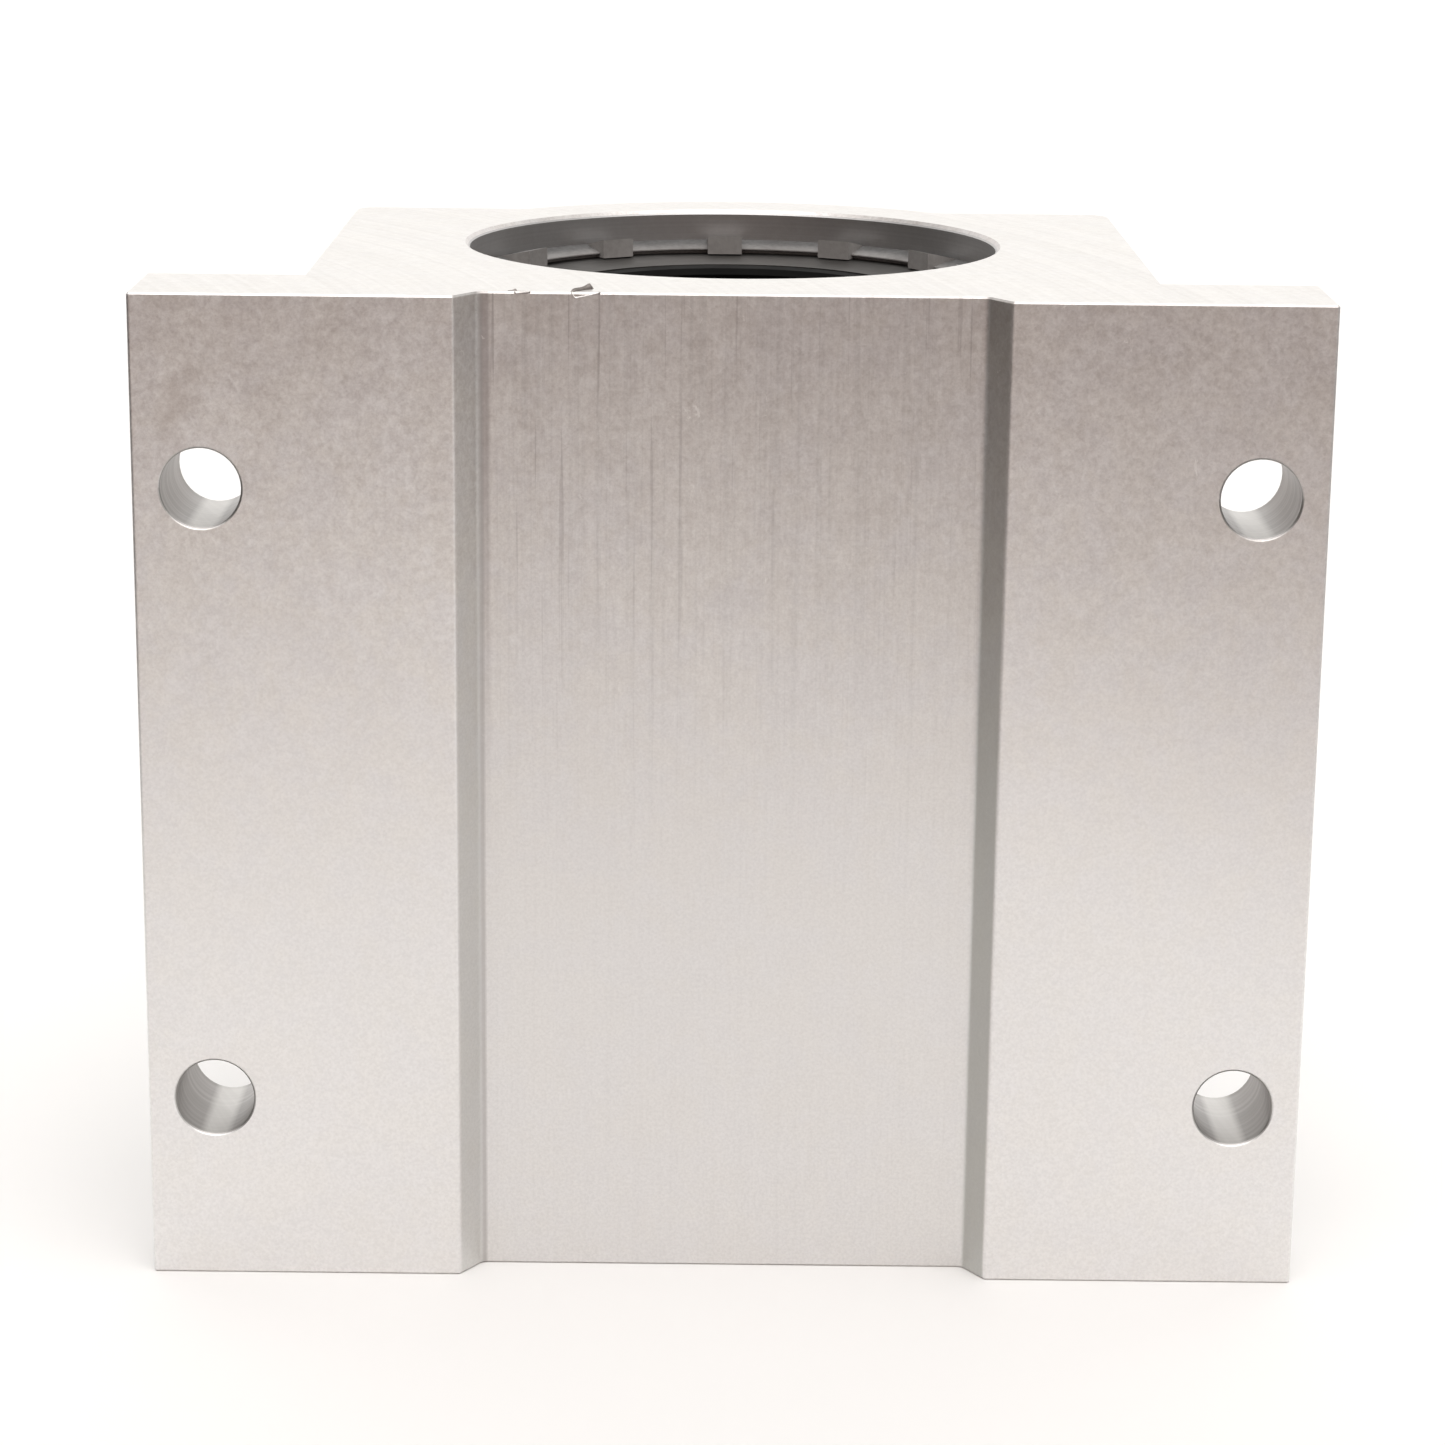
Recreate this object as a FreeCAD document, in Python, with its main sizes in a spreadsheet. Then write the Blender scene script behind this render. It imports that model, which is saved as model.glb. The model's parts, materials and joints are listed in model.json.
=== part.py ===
"""Closed pillow block with a self-aligning linear ball bushing, for a 25.4 mm shaft.

The origin is on the bore axis, half way along it. +Z runs along the bore, -Y is the
outward normal of the mounting face, and +Y points at the crown of the hump.
"""
import FreeCAD, Part
import math
import os

import Sketcher

# name, value in millimetres (degrees for angles), what it is
DIMENSIONS = [
    ("block_width", 82.55, "width over the mounting flanges"),
    ("block_length", 71.4, "length along the bore"),
    ("centre_height", 30.15, "mounting face to bore axis"),
    ("flange_thick", 9.65, "thickness of the mounting flanges"),
    ("body_width", 60.3, "width of the block above the flanges"),
    ("shoulder_height", 49.5, "mounting face to the flat shoulders"),
    ("hump_radius", 25.45, "radius of the round hump, about the bore axis"),
    ("shoulder_round", 1.6, "radius of the shoulder corners"),
    ("flange_round", 0.25, "radius of the flange corners"),
    ("recess_face_width", 38.1, "width of the relief in the mounting face, at the face"),
    ("recess_floor_width", 35.0, "width of the relief, at its floor"),
    ("recess_depth", 2.3, "depth of the relief"),
    ("recess_root", 0.7, "radius in the relief's inner corners"),
    ("recess_lip", 0.25, "radius on the relief's outer corners"),
    ("edge_break", 0.13, "chamfer on the sawn ends' outer edges"),
    ("bore_radius", 19.85, "radius of the housing bore"),
    ("bore_lead", 0.35, "chamfer at the mouths of the housing bore"),
    ("hole_pitch_x", 73.03, "mounting holes, spacing across the block"),
    ("hole_pitch_z", 44.45, "mounting holes, spacing along the bore"),
    ("hole_diameter", 5.58, "mounting hole diameter"),
    ("hole_rim", 5.88, "diameter of the mounting holes' chamfered rims"),
    ("lube_diameter", 6.35, "diameter of the lubricator's hole in the crown"),
    ("sleeve_length", 57.15, "length of the bushing's outer sleeve"),
    ("sleeve_outer", 19.80, "outer radius of the sleeve"),
    ("sleeve_inner", 18.55, "inner radius of the sleeve"),
    ("sleeve_chamfer", 0.5, "chamfer on the sleeve's ends"),
    ("retainer_length", 56.0, "length of the ball retainer"),
    ("retainer_outer", 18.45, "outer radius of the ball retainer"),
    ("retainer_inner", 12.90, "inner radius of the ball retainer"),
    ("locator_diameter", 3.2, "hole in the sleeve for the lubricator's nose"),
    ("ball_radius", 1.9844, "radius of the bearing balls"),
    ("channel_radius", 2.05, "radius of the ball channels"),
    ("load_row", 14.6844, "distance from the bore axis to the loaded balls' centres"),
    ("return_row", 16.50, "distance from the bore axis to the returning balls' centres"),
    ("turn_radius", 4.03, "radius of the balls' path round each end of a circuit"),
    ("plate_width", 7.6, "width of a bearing plate"),
    ("plate_length", 39.4, "length of a bearing plate"),
    ("plate_inner", 16.40, "bore axis to the flat inner face of a plate"),
    ("plate_crown", 667.0, "radius of the crowned back of a plate, along its length"),
    ("plate_ramp_length", 1.6, "length of the lead-in ramps at a plate's ends"),
    ("plate_ramp_depth", 0.5, "depth of those ramps"),
    ("race_radius", 2.185, "radius of the race groove in a plate"),
    ("pocket_side", 0.15, "play beside a plate in its pocket"),
    ("pocket_end", 0.3, "play at the ends of a plate in its pocket"),
    ("pocket_floor", 16.05, "bore axis to the floor of a plate's pocket"),
    ("seal_width", 4.76, "width of an end seal's carrier along the bore"),
    ("seal_outer", 19.82, "outer radius of the seal carrier"),
    ("seal_rim_inner", 17.70, "inner radius of the carrier's rim"),
    ("seal_rim_drop", 0.46, "fall of the carrier's conical end face towards the bore"),
    ("seal_rim_edge", 0.08, "thickness of the rim at its inner edge"),
    ("seal_rim_wedge", 0.14, "fall of the rim's underside, away from the bore"),
    ("seal_groove", 18.35, "outer radius of the groove that holds the cover plate"),
    ("seal_floor_inner", 14.6, "inner radius of the carrier's floor"),
    ("seal_floor_thick", 0.9, "thickness of the carrier's floor"),
    ("lug_width", 2.7, "width of a carrier lug"),
    ("lug_rise", 0.60, "height of a lug's inner end above the rim's outer edge"),
    ("lug_reach", 0.60, "reach of a lug inside the rim, over the cover plate"),
    ("lug_phase", -2.0, "angle of the first lug from the crown, towards +X"),
    ("cover_outer", 18.30, "outer radius of the seal's cover plate"),
    ("cover_inner", 13.60, "inner radius of the cover plate"),
    ("cover_depth", 0.87, "rim's outer edge to the cover plate's outer edge"),
    ("cover_dish", 0.30, "fall of the cover plate towards the bore"),
    ("cover_thick", 0.40, "thickness of the cover plate"),
    ("wiper_lip", 12.70, "inner radius of the wiper's lips"),
    ("wiper_waist", 13.30, "inner radius of the wiper between its lips"),
    ("lip_land", 0.5, "width of the land on each lip"),
    ("fitting_radius", 3.155, "radius of the lubricator's shank"),
    ("fitting_foot", 19.90, "bore axis to the lubricator's shoulder"),
    ("fitting_top", 25.15, "bore axis to the lubricator's outer end"),
    ("nose_radius", 1.50, "radius of the lubricator's nose"),
    ("nose_reach", 18.75, "bore axis to the tip of the lubricator's nose"),
    ("duct_radius", 0.50, "radius of the duct through the nose"),
    ("chamber_radius", 1.30, "radius of the lubricator's chamber"),
    ("chamber_floor", 20.60, "bore axis to the floor of the chamber"),
    ("chamber_roof", 24.20, "bore axis to the roof of the chamber"),
    ("mouth_radius", 0.80, "radius of the lubricator's mouth"),
    ("mouth_flare", 1.60, "radius of the mouth at the outer end"),
    ("check_ball_radius", 1.15, "radius of the check ball"),
    ("check_ball_seat", 23.35, "bore axis to the seated check ball's centre"),
    ("spring_wire", 0.12, "wire radius of the check spring"),
    ("spring_radius", 0.85, "mean radius of the check spring"),
    ("spring_foot", 20.75, "bore axis to the start of the spring's wire"),
    ("spring_length", 1.62, "length of the spring's coil, between wire centres"),
    ("spring_coils", 3.5, "coils in the check spring"),
]

CIRCUITS = 6
BALLS_PER_STRAIGHT = 9
BALLS_PER_TURN = 3
LUGS = 12

os.makedirs("parts", exist_ok=True)
doc = FreeCAD.newDocument("bushing_block")
sheet = doc.addObject("Spreadsheet::Sheet", "dims")
for row, (alias, size, meaning) in enumerate(DIMENSIONS, start=1):
    sheet.set(f"A{row}", meaning)
    sheet.set(f"B{row}", str(size))
    sheet.setAlias(f"B{row}", alias)
doc.recompute()
scratch = doc.addObject("App::FeaturePython", "scratch")

parts = {}


def value(expression):
    """The number a sheet expression stands for."""
    result = scratch.evalExpression(expression)
    return float(getattr(result, "Value", result))


def cell(name):
    """One number of the sheet."""
    return float(sheet.get(name))


def bind(feature, **expressions):
    """Drive a feature's properties from the sheet."""
    for name, expression in expressions.items():
        feature.setExpression(name, expression)


def keep(feature, label):
    """Name a finished piece and count it among the parts."""
    feature.Label = label
    parts[label] = feature
    return feature


def turned(angle, axis=FreeCAD.Vector(0, 0, 1)):
    """A placement turned about an axis through the origin, in degrees."""
    return FreeCAD.Placement(FreeCAD.Vector(), FreeCAD.Rotation(axis, angle))


# ---------------------------------------------------------------- sketch helpers

def new_body(label):
    return keep(doc.addObject("PartDesign::Body", "body_" + label), label)


def new_sketch(body, name, plane, lift=None):
    """An empty sketch on one of its body's own planes, lifted off it by an expression."""
    sketch = body.newObject("Sketcher::SketchObject", name)
    support = [f for f in body.Origin.OriginFeatures if f.Role == plane][0]
    sketch.AttachmentSupport = [(support, "")]
    sketch.MapMode = "FlatFace"
    if lift:
        sketch.setExpression(".AttachmentOffset.Base.z", lift)
    return sketch


def fix_point(sketch, geometry, point, x, y):
    """Hold one point of a sketch at two sheet expressions."""
    for kind, expression, axis in (("DistanceX", x, -2), ("DistanceY", y, -1)):
        size = value(expression)
        if abs(size) < 1e-9:
            sketch.addConstraint(Sketcher.Constraint("PointOnObject", geometry, point, axis))
            continue
        index = sketch.addConstraint(
            Sketcher.Constraint(kind, -1, 1, geometry, point, size))
        sketch.setExpression(f"Constraints[{index}]", expression)


def add_outline(sketch, corners, arcs=()):
    """A closed outline through the corners; arcs lists the numbers of the curved edges.

    A curved edge is an arc centred on the sketch's origin and runs clockwise.
    """
    points = [FreeCAD.Vector(value(x), value(y), 0) for x, y in corners]
    first = sketch.GeometryCount
    count = len(points)
    for i, start in enumerate(points):
        end = points[(i + 1) % count]
        if i in arcs:
            circle = Part.Circle(FreeCAD.Vector(), FreeCAD.Vector(0, 0, 1), start.Length)
            low = math.atan2(end.y, end.x)
            high = math.atan2(start.y, start.x)
            sketch.addGeometry(Part.ArcOfCircle(circle, low, high))
            sketch.addConstraint(Sketcher.Constraint("Coincident", first + i, 3, -1, 1))
        else:
            sketch.addGeometry(Part.LineSegment(start, end))
    for i in range(count):
        follower = (i + 1) % count
        tail = 1 if i in arcs else 2
        head = 2 if follower in arcs else 1
        sketch.addConstraint(
            Sketcher.Constraint("Coincident", first + i, tail, first + follower, head))
    for i, (x, y) in enumerate(corners):
        if i - 1 in arcs:
            # the arc's radius is already held, so its far end needs one size only
            index = sketch.addConstraint(
                Sketcher.Constraint("DistanceY", -1, 1, first + i, 1, value(y)))
            sketch.setExpression(f"Constraints[{index}]", y)
            continue
        fix_point(sketch, first + i, 2 if i in arcs else 1, x, y)


def add_circle(sketch, x, y, radius):
    """A circle at two sheet expressions, with its radius driven by a third."""
    centre = FreeCAD.Vector(value(x), value(y), 0)
    circle = Part.Circle(centre, FreeCAD.Vector(0, 0, 1), value(radius))
    geometry = sketch.addGeometry(circle)
    index = sketch.addConstraint(
        Sketcher.Constraint("Radius", geometry, circle.Radius))
    sketch.setExpression(f"Constraints[{index}]", radius)
    if value(x) == 0 and value(y) == 0:
        sketch.addConstraint(Sketcher.Constraint("Coincident", geometry, 3, -1, 1))
    else:
        fix_point(sketch, geometry, 3, x, y)


def rectangle(left, low, right, high):
    return [(left, low), (right, low), (right, high), (left, high)]


def add_feature(body, kind, name, sketch, **expressions):
    feature = body.newObject("PartDesign::" + kind, name)
    feature.Profile = sketch
    sketch.Visibility = False
    bind(feature, **expressions)
    return feature


def pad_symmetric(body, sketch, length):
    pad = add_feature(body, "Pad", sketch.Name + "_pad", sketch, Length=length)
    pad.SideType = "Symmetric"
    doc.recompute()
    return pad


def cut_through(body, sketch):
    pocket = add_feature(body, "Pocket", sketch.Name + "_cut", sketch)
    pocket.Type = "ThroughAll"
    pocket.SideType = "Symmetric"
    doc.recompute()
    return pocket


def revolve(body, sketch, kind="Revolution", angle=360.0):
    """Turn a sketch of the XZ plane about the bore axis."""
    feature = add_feature(body, kind, sketch.Name + "_turned", sketch)
    feature.ReferenceAxis = (sketch, ["V_Axis"])
    feature.Angle = angle
    if angle < 360:
        feature.Midplane = True
    doc.recompute()
    return feature


def polar(body, feature, count):
    """Repeat a feature evenly round the bore axis."""
    spread = body.newObject("PartDesign::PolarPattern", feature.Name + "_pattern")
    spread.Originals = [feature]
    axis = [f for f in body.Origin.OriginFeatures if f.Role == "Z_Axis"][0]
    spread.Axis = (axis, [""])
    spread.Angle = 360
    spread.Occurrences = count
    body.Tip = spread
    doc.recompute()
    return spread


def edges_where(shape, test):
    return [f"Edge{i}" for i, edge in enumerate(shape.Edges, start=1) if test(edge)]


def dress(body, kind, name, base, edges, **expressions):
    """A fillet or a chamfer on some edges of the last feature."""
    feature = body.newObject("PartDesign::" + kind, name)
    feature.Base = (base, edges)
    bind(feature, **expressions)
    doc.recompute()
    return feature


# ---------------------------------------------------------------- housing

def build_housing():
    """The extruded block: hump, shoulders, flanges and relieved mounting face."""
    body = new_body("housing")
    half_width = "dims.block_width / 2"
    half_body = "dims.body_width / 2"
    face = "-dims.centre_height"
    flange_top = "dims.flange_thick - dims.centre_height"
    shoulder = "dims.shoulder_height - dims.centre_height"
    hump_foot = ("sqrt(dims.hump_radius ^ 2 - "
                 "(dims.shoulder_height - dims.centre_height) ^ 2)")
    floor = "dims.recess_depth - dims.centre_height"
    corners = [
        ("-" + half_body, shoulder),
        ("-1 * " + hump_foot, shoulder),
        (hump_foot, shoulder),
        (half_body, shoulder),
        (half_body, flange_top),
        (half_width, flange_top),
        (half_width, face),
        ("dims.recess_face_width / 2", face),
        ("dims.recess_floor_width / 2", floor),
        ("-dims.recess_floor_width / 2", floor),
        ("-dims.recess_face_width / 2", face),
        ("-" + half_width, face),
        ("-" + half_width, flange_top),
        ("-" + half_body, flange_top),
    ]
    outline = new_sketch(body, "block_outline", "XY_Plane")
    add_outline(outline, corners, arcs=(1,))
    block = pad_symmetric(body, outline, "dims.block_length")

    def along_bore_at(x, y):
        def test(edge):
            if not isinstance(edge.Curve, Part.Line):
                return False
            middle = edge.BoundBox.Center
            return (abs(abs(middle.x) - x) < 0.01 and abs(middle.y - y) < 0.01
                    and edge.Length > 1)
        return test

    shoulders = edges_where(block.Shape, along_bore_at(value(half_body), value(shoulder)))
    rounded = dress(body, "Fillet", "shoulder_fillet", block, shoulders,
                    Radius="dims.shoulder_round")
    tips = edges_where(rounded.Shape, along_bore_at(value(half_width), value(flange_top)))
    tips += edges_where(rounded.Shape, along_bore_at(value(half_width), value(face)))
    rounded = dress(body, "Fillet", "flange_fillet", rounded, tips, Radius="dims.flange_round")
    roots = edges_where(rounded.Shape, along_bore_at(value("dims.recess_floor_width / 2"),
                                                     value(floor)))
    rounded = dress(body, "Fillet", "relief_roots", rounded, roots, Radius="dims.recess_root")
    lips = edges_where(rounded.Shape, along_bore_at(value("dims.recess_face_width / 2"),
                                                    value(face)))
    rounded = dress(body, "Fillet", "relief_lips", rounded, lips, Radius="dims.recess_lip")
    end = cell("block_length") / 2
    rims = edges_where(rounded.Shape, lambda e: e.BoundBox.ZLength < 1e-6
                       and abs(abs(e.BoundBox.Center.z) - end) < 1e-6)
    dress(body, "Chamfer", "end_chamfer", rounded, rims, Size="dims.edge_break")

    bore = new_sketch(body, "bore_circle", "XY_Plane")
    add_circle(bore, "0", "0", "dims.bore_radius")
    bored = cut_through(body, bore)
    mouths = edges_where(bored.Shape, lambda e: isinstance(e.Curve, Part.Circle)
                         and abs(e.Curve.Radius - cell("bore_radius")) < 1e-6)
    dress(body, "Chamfer", "bore_lead", bored, mouths, Size="dims.bore_lead")

    holes = new_sketch(body, "hole_centres", "XZ_Plane", "dims.centre_height")
    for side in ("", "-"):
        for end_sign in ("", "-"):
            add_circle(holes, side + "dims.hole_pitch_x / 2",
                       end_sign + "dims.hole_pitch_z / 2", "dims.hole_diameter / 2")
    doc.recompute()
    drilled = body.newObject("PartDesign::Hole", "mounting_holes")
    drilled.Profile = holes
    doc.recompute()
    drilled.DepthType = "Dimension"
    drilled.Depth = 20.0
    drilled.Diameter = cell("hole_diameter")
    drilled.HoleCutType = "Countersink"
    drilled.HoleCutDiameter = cell("hole_rim")
    drilled.HoleCutCountersinkAngle = 90.0
    bind(drilled, Depth="dims.flange_thick + 5", Diameter="dims.hole_diameter",
         HoleCutDiameter="dims.hole_rim")
    doc.recompute()

    port = new_sketch(body, "lube_port", "XZ_Plane")
    add_circle(port, "0", "0", "dims.lube_diameter / 2")
    pocket = add_feature(body, "Pocket", "lube_port_cut", port)
    pocket.Type = "ThroughAll"
    doc.recompute()
    return body


# ---------------------------------------------------------------- bushing body

def build_sleeve():
    """Outer sleeve, with a window for each bearing plate and the locating hole."""
    body = new_body("bearing_sleeve")
    section = new_sketch(body, "sleeve_section", "XZ_Plane")
    half = "dims.sleeve_length / 2"
    low = "-dims.sleeve_length / 2"
    add_outline(section, [
        ("dims.sleeve_inner", low),
        ("dims.sleeve_outer - dims.sleeve_chamfer", low),
        ("dims.sleeve_outer", low + " + dims.sleeve_chamfer"),
        ("dims.sleeve_outer", half + " - dims.sleeve_chamfer"),
        ("dims.sleeve_outer - dims.sleeve_chamfer", half),
        ("dims.sleeve_inner", half),
    ])
    ring = revolve(body, section)
    half_width = "(dims.plate_width / 2 + dims.pocket_side)"
    half_length = "(dims.plate_length / 2 + dims.pocket_end)"
    window = new_sketch(body, "plate_window", "XZ_Plane")
    window.AttachmentOffset = turned(180.0 / CIRCUITS, FreeCAD.Vector(0, 1, 0))
    add_outline(window, rectangle("-" + half_width, "-" + half_length,
                                  half_width, half_length))
    opening = add_feature(body, "Pocket", "plate_window_cut", window)
    opening.Type = "ThroughAll"
    doc.recompute()
    polar(body, opening, CIRCUITS)

    locator = new_sketch(body, "locating_hole", "XZ_Plane")
    add_circle(locator, "0", "0", "dims.locator_diameter / 2")
    hole = add_feature(body, "Pocket", "locating_hole_cut", locator)
    hole.Type = "ThroughAll"
    doc.recompute()
    return body


class Circuit:
    """One endless ball path: a loaded row, a return row and a half turn at each end."""

    def __init__(self, number):
        load, back, turn = cell("load_row"), cell("return_row"), cell("turn_radius")
        opening = math.acos((load ** 2 + back ** 2 - (2 * turn) ** 2) / (2 * load * back))
        angle = math.radians(360.0 / CIRCUITS * number)
        self.load = FreeCAD.Vector(load * math.cos(angle), load * math.sin(angle), 0)
        self.back = FreeCAD.Vector(back * math.cos(angle + opening),
                                   back * math.sin(angle + opening), 0)
        self.across = (self.back - self.load).normalize()
        self.centre = (self.load + self.back) * 0.5
        self.up = FreeCAD.Vector(0, 0, 1)
        self.turn = turn
        self.pitch = math.pi * turn / BALLS_PER_TURN
        self.half_straight = self.pitch * BALLS_PER_STRAIGHT / 2

    def row(self, foot):
        """Ball centres along one straight, half a pitch in from its ends."""
        return [foot + self.up * ((i + 0.5) * self.pitch - self.half_straight)
                for i in range(BALLS_PER_STRAIGHT)]

    def bend(self, end):
        """Ball centres round the half turn at the upper (1) or lower (-1) end."""
        hub = self.centre + self.up * (end * self.half_straight)
        centres = []
        for i in range(BALLS_PER_TURN):
            angle = math.pi * (i + 0.5) / BALLS_PER_TURN
            centres.append(hub - self.across * (self.turn * math.cos(angle))
                           + self.up * (end * self.turn * math.sin(angle)))
        return centres


def build_channel(circuit, spin):
    """The tunnel a circuit's balls run in, as two straights and two half turns."""
    pieces = []
    for foot in (circuit.load, circuit.back):
        straight = doc.addObject("Part::Cylinder", "channel_straight")
        bind(straight, Radius="dims.channel_radius")
        straight.Height = 2 * circuit.half_straight
        base = foot - circuit.up * circuit.half_straight
        straight.Placement = spin.multiply(FreeCAD.Placement(base, FreeCAD.Rotation()))
        pieces.append(straight)
    for end in (1, -1):
        bend = doc.addObject("Part::Torus", "channel_bend")
        bind(bend, Radius1="dims.turn_radius", Radius2="dims.channel_radius")
        bend.Angle3 = 180
        rotation = FreeCAD.Rotation(circuit.across * -1, circuit.up * end,
                                    FreeCAD.Vector(), "XYZ")
        hub = circuit.centre + circuit.up * (end * circuit.half_straight)
        bend.Placement = spin.multiply(FreeCAD.Placement(hub, rotation))
        pieces.append(bend)
    return pieces


def gather(kind, name, pieces):
    """A fusion or a plain compound of Part objects."""
    result = doc.addObject("Part::" + kind, name)
    if kind == "MultiFuse":
        result.Shapes = pieces
        result.Refine = False
    else:
        result.Links = pieces
    doc.recompute()
    return result


def cut(name, base, tool):
    result = doc.addObject("Part::Cut", name)
    result.Base = base
    result.Tool = tool
    result.Refine = False
    doc.recompute()
    return result


def tube(name, outer, inner, length, seam):
    """A plain tube, centred on the origin, with its seam turned out of the way."""
    walls = []
    for suffix, radius in (("outside", outer), ("inside", inner)):
        wall = doc.addObject("Part::Cylinder", f"{name}_{suffix}")
        bind(wall, Radius=radius, Height=length)
        # the walls' seams lie between one circuit and the next
        wall.Placement = FreeCAD.Placement(FreeCAD.Vector(0, 0, -value(length) / 2),
                                           FreeCAD.Rotation(FreeCAD.Vector(0, 0, 1), seam))
        wall.setExpression("Placement.Base.z", f"-({length}) / 2")
        walls.append(wall)
    return cut(name + "_tube", walls[0], walls[1])


def build_retainer(circuit):
    """Ball retainer: a tube with the circuits' channels and the plates' pockets."""
    blank = tube("retainer", "dims.retainer_outer", "dims.retainer_inner",
                 "dims.retainer_length", seam=42)
    channels, pockets = [], []
    for number in range(CIRCUITS):
        spin = turned(360.0 / CIRCUITS * number)
        channels.append(gather("MultiFuse", "channel", build_channel(circuit, spin)))
        pocket = doc.addObject("Part::Box", "plate_pocket")
        bind(pocket, Length="dims.retainer_outer", Width="dims.plate_width + 2 * dims.pocket_side",
             Height="dims.plate_length + 2 * dims.pocket_end")
        corner = FreeCAD.Vector(cell("pocket_floor"),
                                -value("dims.plate_width / 2 + dims.pocket_side"),
                                -value("dims.plate_length / 2 + dims.pocket_end"))
        pocket.Placement = spin.multiply(FreeCAD.Placement(corner, FreeCAD.Rotation()))
        pockets.append(pocket)
    pocketed = cut("retainer_pocketed", blank, gather("Compound", "plate_pockets", pockets))
    channelled = cut("retainer_channelled", pocketed, gather("Compound", "channels", channels))
    return keep(channelled, "ball_retainer")


def build_plate(number):
    """A hardened bearing plate: crowned back, race groove and lead-in ramps."""
    body = new_body(f"bearing_plate_{number + 1}")
    half = "dims.plate_length / 2"
    section = new_sketch(body, "plate_section", "XZ_Plane")
    reach, crown = cell("sleeve_outer"), cell("plate_crown")
    half_length = value(half)
    blank_inner = value("dims.plate_inner - 1")
    edge = reach - crown + math.sqrt(crown ** 2 - half_length ** 2)
    corners = [FreeCAD.Vector(edge, -half_length, 0), FreeCAD.Vector(edge, half_length, 0),
               FreeCAD.Vector(blank_inner, half_length, 0),
               FreeCAD.Vector(blank_inner, -half_length, 0)]
    section.addGeometry(Part.Arc(corners[0], FreeCAD.Vector(reach, 0, 0), corners[1]))
    for start, end in ((1, 2), (2, 3), (3, 0)):
        section.addGeometry(Part.LineSegment(corners[start], corners[end]))
    for rule in (("Coincident", 0, 2, 1, 1), ("Coincident", 1, 2, 2, 1),
                 ("Coincident", 2, 2, 3, 1), ("Coincident", 3, 2, 0, 1),
                 ("Horizontal", 1), ("Horizontal", 3), ("Vertical", 2),
                 ("PointOnObject", 0, 3, -1)):
        section.addConstraint(Sketcher.Constraint(*rule))
    for kind, point, expression in (("DistanceX", 3, "dims.sleeve_outer - dims.plate_crown"),
                                    ("DistanceY", 2, half)):
        index = section.addConstraint(
            Sketcher.Constraint(kind, -1, 1, 0, point, value(expression)))
        section.setExpression(f"Constraints[{index}]", expression)
    index = section.addConstraint(Sketcher.Constraint("Radius", 0, crown))
    section.setExpression(f"Constraints[{index}]", "dims.plate_crown")
    index = section.addConstraint(Sketcher.Constraint("DistanceX", -1, 1, 1, 2, blank_inner))
    section.setExpression(f"Constraints[{index}]", "dims.plate_inner - 1")
    revolve(body, section, angle=32.0)

    trim = new_sketch(body, "plate_trim", "XY_Plane")
    side = "dims.plate_width / 2"
    for low, high in ((side, side + " + 4"), (f"-{side} - 4", f"-{side}")):
        add_outline(trim, rectangle("dims.plate_inner - 3", low, "dims.sleeve_outer + 1", high))
    cut_through(body, trim)
    face = new_sketch(body, "plate_face", "XY_Plane")
    add_outline(face, rectangle("dims.plate_inner - 3", f"-{side} - 1",
                                "dims.plate_inner", side + " + 1"))
    cut_through(body, face)
    race = new_sketch(body, "race_groove", "XY_Plane")
    add_circle(race, "dims.load_row", "0", "dims.race_radius")
    cut_through(body, race)
    ramps = new_sketch(body, "lead_in_ramps", "XZ_Plane")
    for sign in ("", "-"):
        add_outline(ramps, [
            ("dims.plate_inner - 1", f"{sign}({half} - dims.plate_ramp_length * 2)"),
            ("dims.race_radius + dims.load_row", f"{sign}({half} - dims.plate_ramp_length)"),
            ("dims.race_radius + dims.load_row + dims.plate_ramp_depth", f"{sign}({half} + 0.01)"),
            ("dims.plate_inner - 1", f"{sign}({half} + 0.01)"),
        ])
    cut_through(body, ramps)
    body.Placement = turned(360.0 / CIRCUITS * number)
    return body


def build_balls(label, centres):
    """A group of loose balls that keep their spacing as they move."""
    radius = cell("ball_radius")
    group = doc.addObject("Part::Feature", label)
    group.Shape = Part.makeCompound([Part.makeSphere(radius, centre) for centre in centres])
    group.Placement = FreeCAD.Placement()
    return keep(group, label)


# ---------------------------------------------------------------- end seals

SEAL_FOOT = "(dims.sleeve_length / 2 + 0.02)"
SEAL_TOP = "(dims.sleeve_length / 2 + dims.seal_width)"
COVER_TOP = "(dims.sleeve_length / 2 + dims.seal_width - dims.cover_depth)"


def at_end(body, end):
    """Leave a piece at the upper end (1), or turn it over to the lower end (-1)."""
    if end < 0:
        body.Placement = turned(180, FreeCAD.Vector(0, 1, 0))
    return body


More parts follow.
